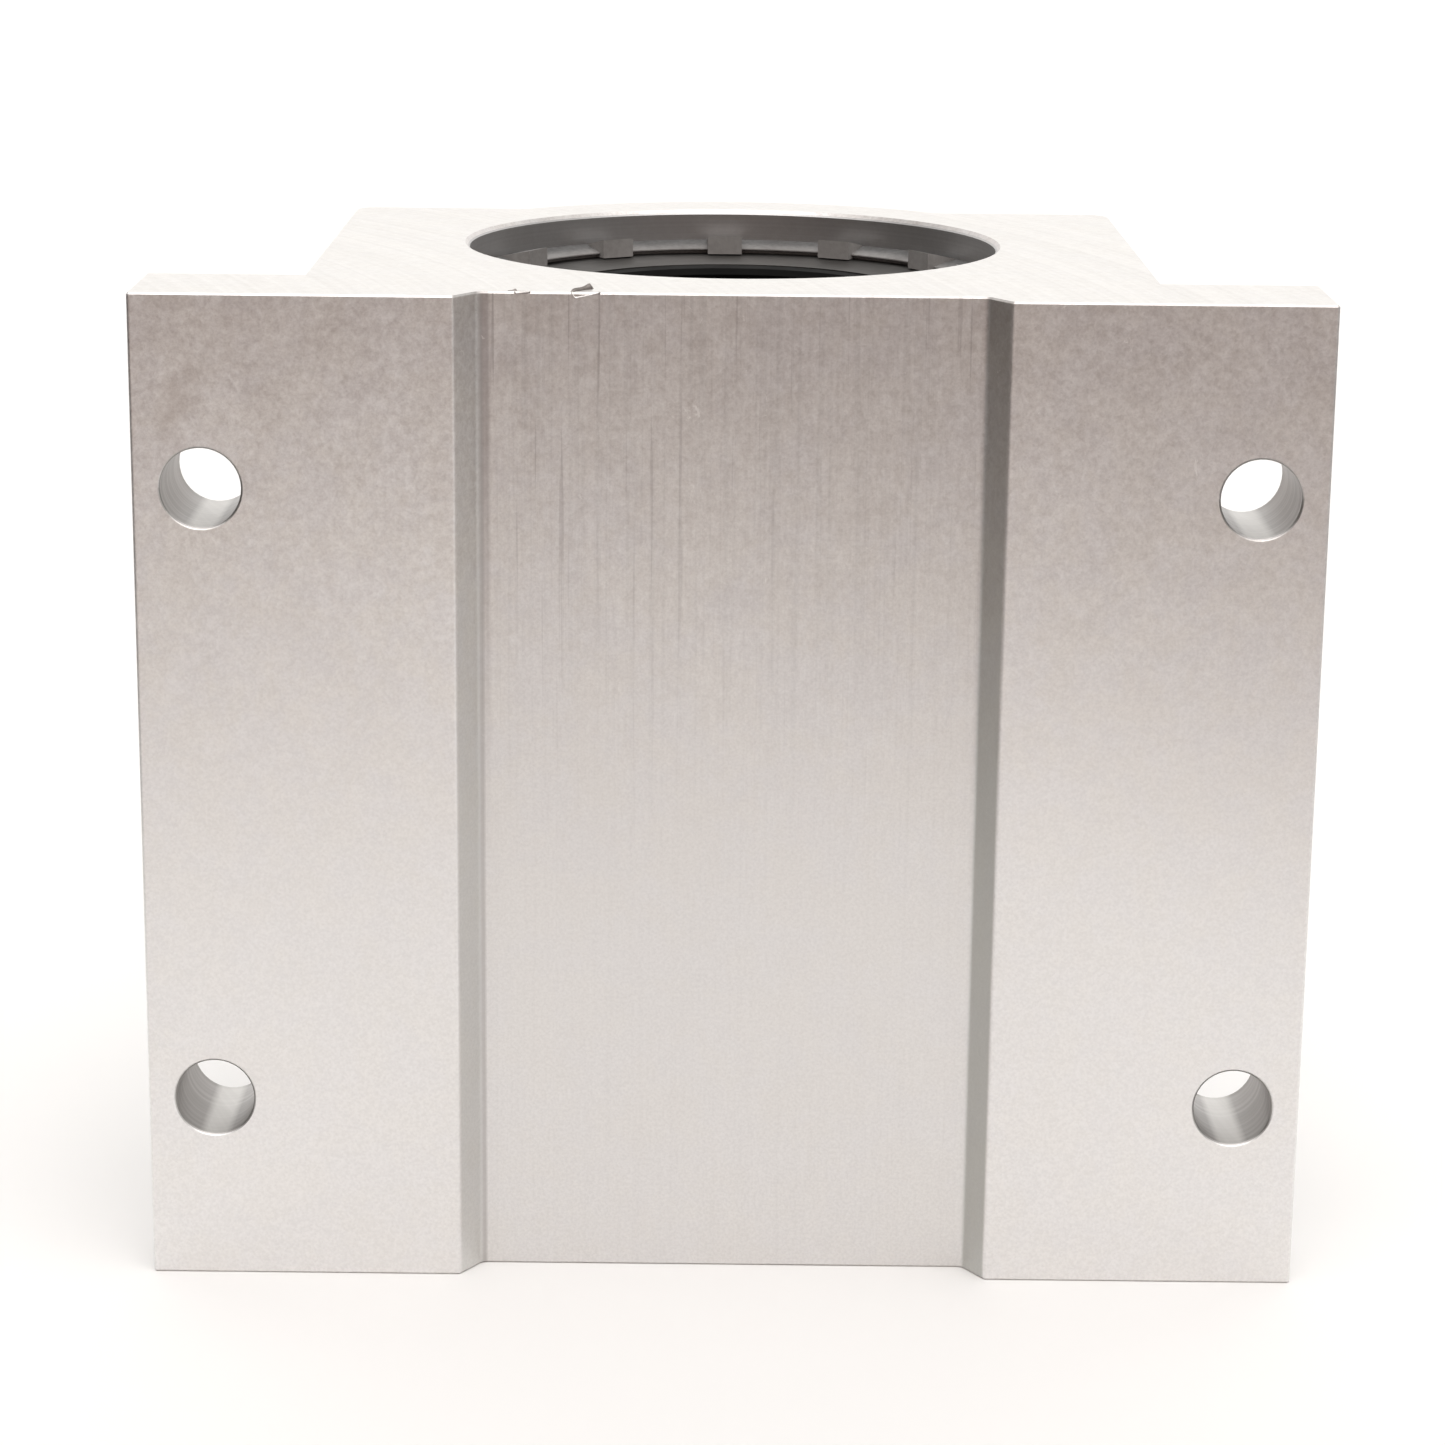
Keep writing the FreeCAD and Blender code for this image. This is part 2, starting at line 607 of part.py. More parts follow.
def build_carrier(label, end):
    """Seal carrier: a channel-section ring whose outer face is notched into lugs."""
    body = new_body(label)
    section = new_sketch(body, "carrier_section", "XZ_Plane")
    rim = SEAL_TOP + " - dims.seal_rim_drop"
    shelf = COVER_TOP + " - dims.cover_thick - 0.06"
    floor = SEAL_FOOT + " + dims.seal_floor_thick"
    add_outline(section, [
        ("dims.seal_floor_inner", SEAL_FOOT),
        ("dims.seal_outer", SEAL_FOOT),
        ("dims.seal_outer", SEAL_TOP),
        ("dims.seal_rim_inner", rim),
        ("dims.seal_rim_inner", rim + " - dims.seal_rim_edge"),
        ("dims.seal_groove", rim + " - dims.seal_rim_edge - dims.seal_rim_wedge"),
        ("dims.seal_groove", shelf),
        ("dims.seal_rim_inner", shelf),
        ("dims.seal_rim_inner", floor),
        ("dims.seal_floor_inner", floor),
    ])
    revolve(body, section)
    lug = new_sketch(body, "lug", "XZ_Plane")
    lug.AttachmentOffset = turned(-end * cell("lug_phase"), FreeCAD.Vector(0, 1, 0))
    inner = "dims.seal_rim_inner - dims.lug_reach"
    outer = "sqrt(dims.seal_outer ^ 2 - dims.lug_width ^ 2 / 4)"
    add_outline(lug, [
        (inner, COVER_TOP + " + 0.03"),
        (outer, COVER_TOP + " + 0.03"),
        (outer, SEAL_TOP + " + 0.02"),
        (inner, SEAL_TOP + " + dims.lug_rise"),
    ])
    polar(body, pad_symmetric(body, lug, "dims.lug_width"), LUGS)
    return at_end(body, end)


def build_cover(label, end):
    """Dished metal cover plate that keeps the wiper in its carrier."""
    body = new_body(label)
    section = new_sketch(body, "cover_section", "XZ_Plane")
    add_outline(section, [
        ("dims.cover_inner", COVER_TOP + " - dims.cover_dish - dims.cover_thick"),
        ("dims.cover_outer", COVER_TOP + " - dims.cover_thick"),
        ("dims.cover_outer", COVER_TOP),
        ("dims.cover_inner", COVER_TOP + " - dims.cover_dish"),
    ])
    revolve(body, section)
    return at_end(body, end)


def build_wiper(label, end):
    """Double-lip rubber wiper."""
    body = new_body(label)
    section = new_sketch(body, "wiper_section", "XZ_Plane")
    outer = "(dims.seal_rim_inner - 0.08)"
    under = COVER_TOP + " - dims.cover_thick"
    slope = "dims.cover_dish / (dims.cover_outer - dims.cover_inner)"
    lip_top = COVER_TOP + " - dims.cover_dish"
    floor = SEAL_FOOT + " + dims.seal_floor_thick"
    add_outline(section, [
        (outer, floor + " + 0.03"),
        (outer, under + f" - 0.03 - (dims.cover_outer - {outer}) * {slope}"),
        ("dims.cover_inner - 0.1", under + " - dims.cover_dish - 0.03"),
        ("dims.cover_inner - 0.15", lip_top + " - 0.1"),
        ("dims.wiper_lip + 0.3", lip_top),
        ("dims.wiper_lip", lip_top + " - 0.2"),
        ("dims.wiper_lip", lip_top + " - 0.2 - dims.lip_land"),
        ("dims.wiper_waist", lip_top + " - 0.8 - dims.lip_land"),
        ("dims.wiper_waist", SEAL_FOOT + " + 0.8 + dims.lip_land"),
        ("dims.wiper_lip", SEAL_FOOT + " + 0.3 + dims.lip_land"),
        ("dims.wiper_lip", SEAL_FOOT + " + 0.3"),
        ("dims.wiper_lip + 0.3", SEAL_FOOT + " + 0.1"),
        ("dims.seal_floor_inner - 0.3", floor + " + 0.03"),
    ])
    revolve(body, section)
    return at_end(body, end)


# ---------------------------------------------------------------- lubricator

def build_fitting():
    """Flush ball lubricator in the crown, whose nose locates the sleeve."""
    body = new_body("lube_fitting")
    section = new_sketch(body, "fitting_section", "XY_Plane")
    add_outline(section, [
        ("dims.duct_radius", "dims.nose_reach"),
        ("dims.nose_radius", "dims.nose_reach"),
        ("dims.nose_radius", "dims.fitting_foot"),
        ("dims.fitting_radius", "dims.fitting_foot"),
        ("dims.fitting_radius", "dims.fitting_top - 0.3"),
        ("dims.fitting_radius - 0.3", "dims.fitting_top"),
        ("dims.mouth_flare", "dims.fitting_top"),
        ("dims.mouth_radius", "dims.fitting_top - 0.5"),
        ("dims.mouth_radius", "dims.chamber_roof"),
        ("dims.chamber_radius", "dims.chamber_roof"),
        ("dims.chamber_radius", "dims.chamber_floor"),
        ("dims.duct_radius", "dims.chamber_floor"),
    ])
    revolve(body, section)
    return body


def build_check_ball():
    ball = doc.addObject("Part::Sphere", "check_ball")
    bind(ball, Radius="dims.check_ball_radius")
    ball.setExpression("Placement.Base.y", "dims.check_ball_seat")
    return keep(ball, "check_ball")


def build_check_spring():
    """Coil spring between the chamber's floor and the check ball."""
    radius, wire_radius = cell("spring_radius"), cell("spring_wire")
    length = cell("spring_length")
    helix = Part.makeHelix(length / cell("spring_coils"), length, radius)
    section = Part.Wire(Part.makeCircle(wire_radius, FreeCAD.Vector(radius, 0, 0),
                                        FreeCAD.Vector(0, 1, 0)))
    spring = doc.addObject("Part::Feature", "check_spring")
    spring.Shape = Part.Wire(helix).makePipeShell([section], True, True)
    spring.Placement = FreeCAD.Placement(
        FreeCAD.Vector(0, cell("spring_foot"), 0),
        FreeCAD.Rotation(FreeCAD.Vector(1, 0, 0), -90))
    return keep(spring, "check_spring")


# ---------------------------------------------------------------- the assembly

build_housing()
build_sleeve()
circuits = [Circuit(number) for number in range(CIRCUITS)]
build_retainer(circuits[0])
for number, circuit in enumerate(circuits):
    build_plate(number)
    build_balls(f"balls_load_{number + 1}", circuit.row(circuit.load))
    build_balls(f"balls_return_{number + 1}", circuit.row(circuit.back))
    build_balls(f"balls_turn_upper_{number + 1}", circuit.bend(1))
    build_balls(f"balls_turn_lower_{number + 1}", circuit.bend(-1))
for name, end in (("upper", 1), ("lower", -1)):
    build_carrier(f"seal_carrier_{name}", end)
    build_cover(f"seal_cover_{name}", end)
    build_wiper(f"seal_wiper_{name}", end)
build_fitting()
build_check_ball()
build_check_spring()
doc.removeObject(scratch.Name)
doc.recompute()

# ---------------------------------------------------------------- checks and files

failed = [item.Name for item in doc.Objects if {"Invalid", "Error"} & set(item.State)]
if failed:
    raise RuntimeError(f"did not compute: {failed}")
for label, part in parts.items():
    if part.Shape.isNull() or not part.Shape.isValid():
        raise RuntimeError(f"{label} has no valid shape")
    print(f"{label:24s} {part.Shape.Volume:10.2f} mm3  {len(part.Shape.Solids)} solid(s)")
    part.Shape.exportStep(f"parts/{label}.step")
print(len(parts), "parts")
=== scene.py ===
"""Studio view of a closed pillow block with its linear ball bushing, stood on one end."""

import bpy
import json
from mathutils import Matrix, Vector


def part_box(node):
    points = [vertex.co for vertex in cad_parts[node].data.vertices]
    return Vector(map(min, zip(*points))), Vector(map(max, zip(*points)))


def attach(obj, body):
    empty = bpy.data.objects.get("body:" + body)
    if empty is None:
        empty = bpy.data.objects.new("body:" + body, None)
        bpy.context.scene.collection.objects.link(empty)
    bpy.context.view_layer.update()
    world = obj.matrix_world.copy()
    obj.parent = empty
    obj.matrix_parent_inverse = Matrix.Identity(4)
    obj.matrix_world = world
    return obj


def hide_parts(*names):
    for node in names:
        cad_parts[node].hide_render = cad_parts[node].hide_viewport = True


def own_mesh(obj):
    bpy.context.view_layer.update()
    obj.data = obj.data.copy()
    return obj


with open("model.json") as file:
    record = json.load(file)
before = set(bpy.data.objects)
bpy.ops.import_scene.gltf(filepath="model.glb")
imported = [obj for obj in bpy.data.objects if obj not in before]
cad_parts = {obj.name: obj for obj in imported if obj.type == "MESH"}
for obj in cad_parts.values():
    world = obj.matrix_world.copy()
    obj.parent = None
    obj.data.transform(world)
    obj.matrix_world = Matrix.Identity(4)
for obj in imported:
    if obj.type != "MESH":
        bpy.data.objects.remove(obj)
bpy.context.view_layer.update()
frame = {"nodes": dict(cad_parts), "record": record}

import json
import math
from functools import partial, reduce
from types import SimpleNamespace

import bmesh
import bpy
from mathutils import Matrix, Vector

MM = 0.001
nodes = frame["nodes"]
block_low, block_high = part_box("housing")

# places on the block that its surface and its nicks follow
HOLE_X, HOLE_Z = 36.515 * MM, 22.225 * MM    # mounting holes, from the middle
HOLE_REACH = 2.86 * MM                       # just outside a hole's wall
SEAT_REACH = 19.95 * MM                      # just outside the bored seat's wall
RELIEF_REACH = 19.3 * MM                     # just outside the relief's edges
RELIEF_DEPTH = 2.3 * MM                      # relief floor below the mounting face
ROOT_X = -17.05 * MM                         # foot of the relief's left side
STAIN_X, STAIN_Z = -38.2 * MM, 27.5 * MM     # brown stain on the left flange
SAW_X, SAW_Y = -100.0 * MM, -50.0 * MM       # middle of the saw's arcs on the end faces
relief_y = block_low.y + RELIEF_DEPTH

# colours of the extrusion; a pair runs from dark to light
ALUMINIUM = (0.862, 0.856, 0.852)            # clean anodised metal
COOL_OXIDE = (0.840, 0.795, 0.800)
WARM_OXIDE = (0.865, 0.810, 0.750)
CLOUDS = ((0.45, 0.40, 0.39), (1.0, 0.98, 0.96))
SPECKLES = ((0.67, 0.63, 0.61), (1.0, 0.995, 0.985))
UPPER_RIGHT_DARKER = (0.78, 0.76, 0.755)
STAIN_BROWN = (0.42, 0.34, 0.30)
DIE_LINES = (0.74, 0.97, 1.0)                # grey levels
STREAKS = ((0.70, 0.66, 0.66), 1.0)
HAIRLINE = (0.24, 0.20, 0.20)
RELIEF_FLOOR = (0.40, 0.38, 0.37)
RELIEF_ROOT = (0.34, 0.32, 0.31)
# the relief's sides: greenish grey with painted shade
RELIEF_SIDE_AND_SHADE = (0.36, 0.37, 0.34)
BRIGHT_NICK = (0.97, 0.96, 0.94)
# drilled metal, darkened by painted shade inside the holes
DRILLED_AND_SHADED = ((0.40, 0.385, 0.375), (0.51, 0.495, 0.485))
# bored metal, darkened by painted shade and painted dark reflection in the seat
BORED_AND_SHADED = ((0.46, 0.455, 0.455), (0.53, 0.525, 0.525))
SAWN = ((0.76, 0.745, 0.72), (0.86, 0.845, 0.82))

COARSE, FINE = 0.012 * MM, 0.006 * MM        # bump distances
SPREAD = (0.3, 0.7)                          # holds most of a noise's values
CLOUD_STOPS = (0.32, 0.68)                   # ends of a ramp over a coarse noise
GRAIN_STOPS = (0.35, 0.65)                   # ends of a ramp over a fine noise
SLIVER_STEPS = 14                            # lengths that a nick's sliver is made of

# studio
SOFTBOX = 3.05                               # strength of the large overhead softbox
SOFTBOX_AIM = (0.02, -0.28, 0.93)            # where it hangs, seen from the block
SOFTBOX_FOCUS = 5.0                          # the higher, the smaller its glow
BACK = 1.12                                  # paper backdrop
RIGHT = 0.30                                 # room wall to the right
ROOM = 0.04                                  # dim room all round
WARM = 0.20                                  # brown furniture in front of the table
DAYLIGHT = (1.0, 0.985, 0.965)               # colour of the light
FURNITURE = (1.0, 0.64, 0.50)                # colour of the furniture's glow
PAPER = (1.1, 1.1, 1.1)                      # the surround seen directly: plain white
TABLE = (-0.17, 0.26, -0.33, 3.0)            # left, right, front, rear
TABLE_STEPS = 32                             # edges of its rounded front
TABLE_PALE = ((0.93, 0.925, 0.92), (0.95, 0.945, 0.94))

# camera
SENSOR, LENS = 36.0, 93.5
CAMERA_PLACE = (-0.00066, -0.28391, 0.07227)
YAW, PITCH, ROLL = -0.057, -14.64, -0.636    # degrees, from level along +Y


# ---------------------------------------------------------------- node helpers

class Graph:
    """A shader node tree whose nodes are added one line at a time.

    A value is an output of a node or a plain number, and each call gives the new node's output.
    """

    def __init__(self, tree):
        self.tree = tree

    def add(self, kind, **settings):
        node = self.tree.nodes.new(kind)
        for key, value in settings.items():
            setattr(node, key, value)
        return node

    def feed(self, socket, value):
        """Link an output to a socket, or set the socket to a plain value."""
        if isinstance(value, bpy.types.NodeSocket):
            self.tree.links.new(value, socket)
        else:
            socket.default_value = value

    def math(self, operation, *values):
        node = self.add("ShaderNodeMath", operation=operation)
        for socket, value in zip(node.inputs, values):
            self.feed(socket, value)
        return node.outputs[0]

    def plus(self, *values):
        return reduce(partial(self.math, "ADD"), values)

    def minus(self, first, second):
        return self.math("SUBTRACT", first, second)

    def times(self, *values):
        return reduce(partial(self.math, "MULTIPLY"), values)

    def absolute(self, value):
        return self.math("ABSOLUTE", value)

    def outside(self, mask):
        """Where a mask from 0 to 1 isn't."""
        return self.minus(1.0, mask)

    def length(self, first, second):
        """Length of a two-dimensional offset."""
        return self.math("SQRT", self.plus(self.times(first, first), self.times(second, second)))

    def remap(self, value, source, target=(0.0, 1.0), smooth=False):
        """Take the source range to the target range, and hold the value beyond its ends."""
        node = self.add("ShaderNodeMapRange")
        if smooth:
            node.interpolation_type = "SMOOTHSTEP"
        for socket, number in zip(node.inputs, (value, *source, *target)):
            self.feed(socket, number)
        return node.outputs[0]

    def split(self, vector):
        node = self.add("ShaderNodeSeparateXYZ")
        self.feed(node.inputs[0], vector)
        return node.outputs

    def join(self, x, y, z):
        node = self.add("ShaderNodeCombineXYZ")
        for socket, value in zip(node.inputs, (x, y, z)):
            self.feed(socket, value)
        return node.outputs[0]

    def vector(self, operation, first, second):
        node = self.add("ShaderNodeVectorMath", operation=operation)
        self.feed(node.inputs[0], first)
        self.feed(node.inputs[1], second)
        return node.outputs[0]

    def scale(self, vector, factor):
        node = self.add("ShaderNodeVectorMath", operation="SCALE")
        self.feed(node.inputs[0], vector)
        self.feed(node.inputs["Scale"], factor)
        return node.outputs[0]


class Material(Graph):
    """A node material that follows the object's own coordinates."""

    def __init__(self, name):
        self.material = bpy.data.materials.new(name)
        self.material.use_nodes = True
        super().__init__(self.material.node_tree)
        self.place = self.add("ShaderNodeTexCoord").outputs["Object"]
        self.x, self.y, self.z = self.split(self.place)

    def facing(self):
        """The three parts of the surface's normal."""
        return self.split(self.add("ShaderNodeTexCoord").outputs["Normal"])

    def stretched(self, factors, offset=(0.0, 0.0, 0.0)):
        """The coordinates moved by an offset, so that two noises differ, then scaled."""
        return self.vector("MULTIPLY", self.vector("ADD", self.place, offset), factors)

    def noise(self, vector, scale, detail=3.0, rough=0.5, distortion=0.0):
        node = self.add("ShaderNodeTexNoise")
        self.feed(node.inputs["Vector"], vector)
        node.inputs["Scale"].default_value = scale
        node.inputs["Detail"].default_value = detail
        node.inputs["Roughness"].default_value = rough
        node.inputs["Distortion"].default_value = distortion
        return node.outputs["Fac"]

    def ramp(self, factor, positions, colours):
        """A ramp through colours, or grey levels, at these positions."""
        node = self.add("ShaderNodeValToRGB")
        self.feed(node.inputs[0], factor)
        elements = node.color_ramp.elements
        while len(elements) < len(positions):
            elements.new(0.5)
        for element, position, colour in zip(elements, positions, colours):
            red_green_blue = colour if isinstance(colour, tuple) else (colour,) * 3
            element.position = position
            element.color = (*red_green_blue, 1.0)
        return node.outputs[0]

    def mix(self, share, first, second, blend="MIX"):
        """Mix two colours."""
        node = self.add("ShaderNodeMix", data_type="RGBA", blend_type=blend)
        self.feed(node.inputs[0], share)
        for socket, colour in zip(node.inputs[6:8], (first, second)):
            self.feed(socket, (*colour, 1.0) if isinstance(colour, tuple) else colour)
        return node.outputs[2]

    def cover(self, tint, *layers):
        """Lay colours over a tint; a layer is (share, colour) or (share, colour, blend)."""
        for share, *colour in layers:
            tint = self.mix(share, tint, *colour)
        return tint

    def blend(self, share, first, second):
        """Mix two values."""
        node = self.add("ShaderNodeMix", data_type="FLOAT")
        for socket, value in zip((node.inputs[0], *node.inputs[2:4]), (share, first, second)):
            self.feed(socket, value)
        return node.outputs[0]

    def finish(self, height=None, distance=0.0, **sockets):
        """Set the shader's sockets, and its bump from a height; gives the material."""
        shader = self.tree.nodes["Principled BSDF"]
        for name, value in sockets.items():
            self.feed(shader.inputs[name.replace("_", " ")], value)
        if height is not None:
            bump = self.add("ShaderNodeBump")
            bump.inputs["Strength"].default_value = 1.0
            bump.inputs["Distance"].default_value = distance
            self.feed(bump.inputs["Height"], height)
            self.feed(shader.inputs["Normal"], bump.outputs[0])
        return self.material


# ---------------------------------------------------------------- the extrusion

def block_areas(made):
    """Masks from 0 to 1: where on the extrusion a point of its surface is."""
    nx, _, nz = made.facing()
    wide, tall = made.absolute(made.x), made.absolute(made.z)
    sawn = made.remap(made.absolute(nz), (0.9, 0.97))
    # from just behind the mounting face to just past the relief's floor
    relief = made.times(
        made.remap(made.y, (block_low.y + 0.1 * MM, block_low.y + 0.3 * MM)),
        made.remap(made.y, (relief_y + 0.9 * MM, relief_y + 0.5 * MM)),
        made.math("LESS_THAN", wide, RELIEF_REACH),
        made.outside(sawn))
    side = made.times(relief, made.remap(made.absolute(nx), (0.45, 0.75)))
    floor = made.minus(relief, side)
    # oxide and wear grow towards the upper end
    handled = made.remap(made.z, (-12.0 * MM, 34.0 * MM), (0.25, 1.0), smooth=True)
    from_hole = made.length(made.minus(wide, HOLE_X), made.minus(tall, HOLE_Z))
    return SimpleNamespace(
        nx=nx, sawn=sawn, relief=relief, side=side, floor=floor, handled=handled,
        worn=made.times(floor, handled),
        hole=made.math("LESS_THAN", from_hole, HOLE_REACH),
        seat=made.math("LESS_THAN", made.length(made.x, made.y), SEAT_REACH))


def block_noises(made, area):
    """The patterns that the extrusion's colour, roughness and bump share."""
    # a few dark hairlines along the relief, and one at the foot of its left side
    sparse = made.noise(made.stretched((1.0, 0.0, 0.016), (0.0, 0.0, 0.4)),
                        scale=1900.0, detail=2.0, rough=0.7)
    sparse = made.times(made.remap(sparse, (0.33, 0.40), (0.9, 0.0), smooth=True),
                        made.remap(made.x, (-17.0 * MM, -2.0 * MM), (1.0, 0.6)))
    root_line = made.remap(made.absolute(made.minus(made.x, ROOT_X)),
                           (0.10 * MM, 0.50 * MM), (1.1, 0.0), smooth=True)
    from_saw = made.length(made.minus(made.x, SAW_X), made.minus(made.y, SAW_Y))
    return SimpleNamespace(
        # all over the skin
        cloud=made.noise(made.place, scale=420.0, detail=5.0, rough=0.65),
        grain=made.noise(made.place, scale=4600.0, detail=2.0, rough=0.6),
        speckle=made.noise(made.place, scale=1500.0, detail=6.0, rough=0.80, distortion=0.3),
        # drawn out along the extrusion
        streak=made.noise(made.stretched((1.0, 1.0, 0.16)), scale=2300.0, rough=0.65),
        lines=made.noise(made.stretched((1.0, 0.0, 0.008)), scale=2300.0, rough=0.7),
        hairline=made.times(made.math("MAXIMUM", sparse, root_line), area.handled),
        # rings of the drill and the boring tool, arcs of the saw
        drill=made.noise(made.join(0.0, made.times(made.y, 2100.0), made.times(made.z, 60.0)),
                         scale=1.0),
        bore=made.noise(made.join(0.0, 0.0, made.times(made.z, 5200.0)), scale=1.0),
        saw=made.noise(made.join(made.times(from_saw, 2200.0), made.times(made.x, 14.0), 0.0),
                       scale=1.0))


def skin_tint(made, area, noise):
    """The anodised skin: patches, clouds, a frosted speckle, darker towards its upper right, one
    stain.
    """
    patch = made.noise(made.place, scale=230.0, detail=4.0, rough=0.65)
    patch = made.remap(patch, (0.38, 0.62), smooth=True)
    cool = made.mix(made.times(area.handled, 0.55), ALUMINIUM, COOL_OXIDE)
    warm = made.mix(made.times(area.handled, 0.75), ALUMINIUM, WARM_OXIDE)
    # the skin gets darker towards its upper right
    corner = made.remap(made.plus(made.z, made.times(made.x, 0.5)),
                        (2.0 * MM, 52.0 * MM), (0.0, 0.95), smooth=True)
    from_stain = made.length(made.minus(made.x, STAIN_X),
                             made.times(made.minus(made.z, STAIN_Z), 0.45))
    ragged = made.remap(noise.cloud, SPREAD, (-0.9 * MM, 0.9 * MM))
    stain = made.remap(made.plus(from_stain, ragged), (0.1 * MM, 1.9 * MM), (0.24, 0.0),
                       smooth=True)
    return made.cover(
        made.mix(patch, cool, warm),
        (made.times(area.handled, 0.16), made.ramp(noise.cloud, (0.36, 0.64), CLOUDS)),
        (made.times(area.handled, area.handled, 0.62),
         made.ramp(noise.speckle, (0.35, 0.63), SPECKLES)),
        (0.12, made.ramp(noise.grain, (0.34, 0.66), (0.30, 1.0))),
        (made.times(corner, made.outside(area.sawn)), UPPER_RIGHT_DARKER, "MULTIPLY"),
        (stain, STAIN_BROWN))


def relief_tint(made, area, noise, tint):
    """The relief keeps its die lines and is a little duller, its sides more so: their greenish
    grey carries painted shade, heavier on the side that faces left and lower down.
    """
    # small bright spots where the oxide is knocked off
    nick = made.noise(made.stretched((1.3, 1.0, 0.8), (0.3, 0.1, 0.0)),
                      scale=640.0, detail=6.0, rough=0.78, distortion=0.9)
    root = made.remap(area.nx, (0.02, 0.22))    # where the floor bends up into its left side
    # painted shade on the sides: more on the one facing left, away from the light, and more
    # lower down
    side = made.times(area.side, made.remap(area.nx, (-0.2, 0.2), (0.52, 0.26)),
                      made.remap(made.z, (2.0 * MM, 28.0 * MM), (1.1, 0.55)))
    return made.cover(
        tint,
        (made.times(area.worn, 0.42),
         made.ramp(noise.lines, (0.30, 0.50, 0.72), DIE_LINES), "MULTIPLY"),
        (made.times(area.worn, 0.18),
         made.ramp(noise.streak, (0.36, 0.60), STREAKS), "MULTIPLY"),
        (made.times(area.worn, noise.hairline, 0.45), HAIRLINE),
        (made.times(area.floor, 0.12), RELIEF_FLOOR),
        (made.times(area.floor, root, 0.55), RELIEF_ROOT),
        (side, RELIEF_SIDE_AND_SHADE),
        (made.times(made.remap(nick, (0.64, 0.70)), area.handled, 0.5), BRIGHT_NICK))


def aluminium():
    """Clear-anodised extrusion with sawn ends, drilled holes and a bored seat."""
    made = Material("anodised_extrusion")
    area = block_areas(made)
    noise = block_noises(made, area)
    tint = made.cover(
        relief_tint(made, area, noise, skin_tint(made, area, noise)),
        # drill rings inside the holes, darkened by painted shade
        (area.hole, made.ramp(noise.drill, GRAIN_STOPS, DRILLED_AND_SHADED)),
        # tool rings in the bored seat, darkened by painted shade and painted dark reflection
        (made.times(area.seat, 0.8), made.ramp(noise.bore, SPREAD, BORED_AND_SHADED)),
        (made.times(area.sawn, 0.60), made.ramp(noise.saw, SPREAD, SAWN)))

    rough = made.plus(made.remap(noise.cloud, SPREAD, (0.37, 0.43)),
                      made.remap(noise.grain, SPREAD, (-0.03, 0.03)))
    rough = made.blend(area.hole, rough, 0.42)
    rough = made.blend(area.seat, rough, 0.40)

    # heights are in units of the bump distance
    height = made.plus(
        made.times(noise.grain, 0.22),
        made.times(noise.speckle, 0.60),
        made.times(noise.cloud, area.handled, 1.2),
        made.times(noise.lines, area.relief, 0.16),
        made.times(noise.streak, area.worn, 0.5),
        made.times(noise.hairline, area.floor, -0.35))
    height = made.blend(area.hole, height, made.times(noise.drill, 0.7))
    height = made.blend(area.seat, height, made.times(noise.bore, 0.35))
    height = made.plus(height, made.times(noise.saw, area.sawn, 0.5))
    return made.finish(height, COARSE, Base_Color=tint, Metallic=1.0, Roughness=rough)


# ---------------------------------------------------------------- other materials

def moulded(name, dark, light, rough, grain_scale=1400.0, metallic=0.0):
    """Moulded or torn surface: cloudy colour, fine grain, faint scuffs."""
    made = Material(name)
    cloud = made.noise(made.place, scale=220.0, detail=4.0, rough=0.6)
    grain = made.noise(made.place, scale=grain_scale, rough=0.65)
    scuff = made.noise(made.stretched((1.0, 1.0, 6.0)), scale=420.0, detail=5.0, rough=0.7)
    tint = made.mix(0.25, made.ramp(cloud, CLOUD_STOPS, (dark, light)),
                    made.ramp(grain, GRAIN_STOPS, (dark, light)))
    return made.finish(made.plus(grain, made.times(scuff, 0.5)), COARSE,
                       Base_Color=tint, Metallic=metallic,
                       Roughness=made.remap(scuff, SPREAD, (rough - 0.07, rough + 0.07)))


def carrier():
    """Grey moulded ring with painted shade: its end faces get darker copies of the grey than the
    lugs' upright faces, darkest against the bore's wall.
    """
    made = Material("carrier_grey")
    _, _, nz = made.facing()
    # painted shade: faces that look along the bore's axis get the shaded copies of the grey
    shade_on_end_faces = made.remap(made.absolute(nz), (0.3, 0.85))
    # painted shade: the end faces are darkest in the corner against the bore's wall
    inward = made.remap(made.length(made.x, made.y), (19.3 * MM, 17.9 * MM), smooth=True)
    cloud = made.noise(made.place, scale=300.0, detail=4.0, rough=0.6)
    grain = made.noise(made.place, scale=2600.0, rough=0.65)
    # the lit copy of the grey, on the lugs' upright faces; the next two tints are shaded copies
    lit_wall_tint = made.ramp(cloud, CLOUD_STOPS, ((0.29, 0.275, 0.265), (0.38, 0.365, 0.355)))
    shaded_rim_tint = made.ramp(cloud, CLOUD_STOPS, (0.09, 0.14))
    middle = made.ramp(cloud, CLOUD_STOPS, ((0.22, 0.21, 0.205), (0.30, 0.29, 0.285)))
    tint = made.cover(
        lit_wall_tint,
        (shade_on_end_faces, made.mix(inward, shaded_rim_tint, middle)),
        (0.15, made.ramp(grain, GRAIN_STOPS, (0.10, 0.42))))
    return made.finish(made.plus(grain, made.times(cloud, 0.8)), COARSE,
                       Base_Color=tint, Roughness=made.remap(cloud, SPREAD, (0.48, 0.60)),
                       Specular_IOR_Level=0.3)


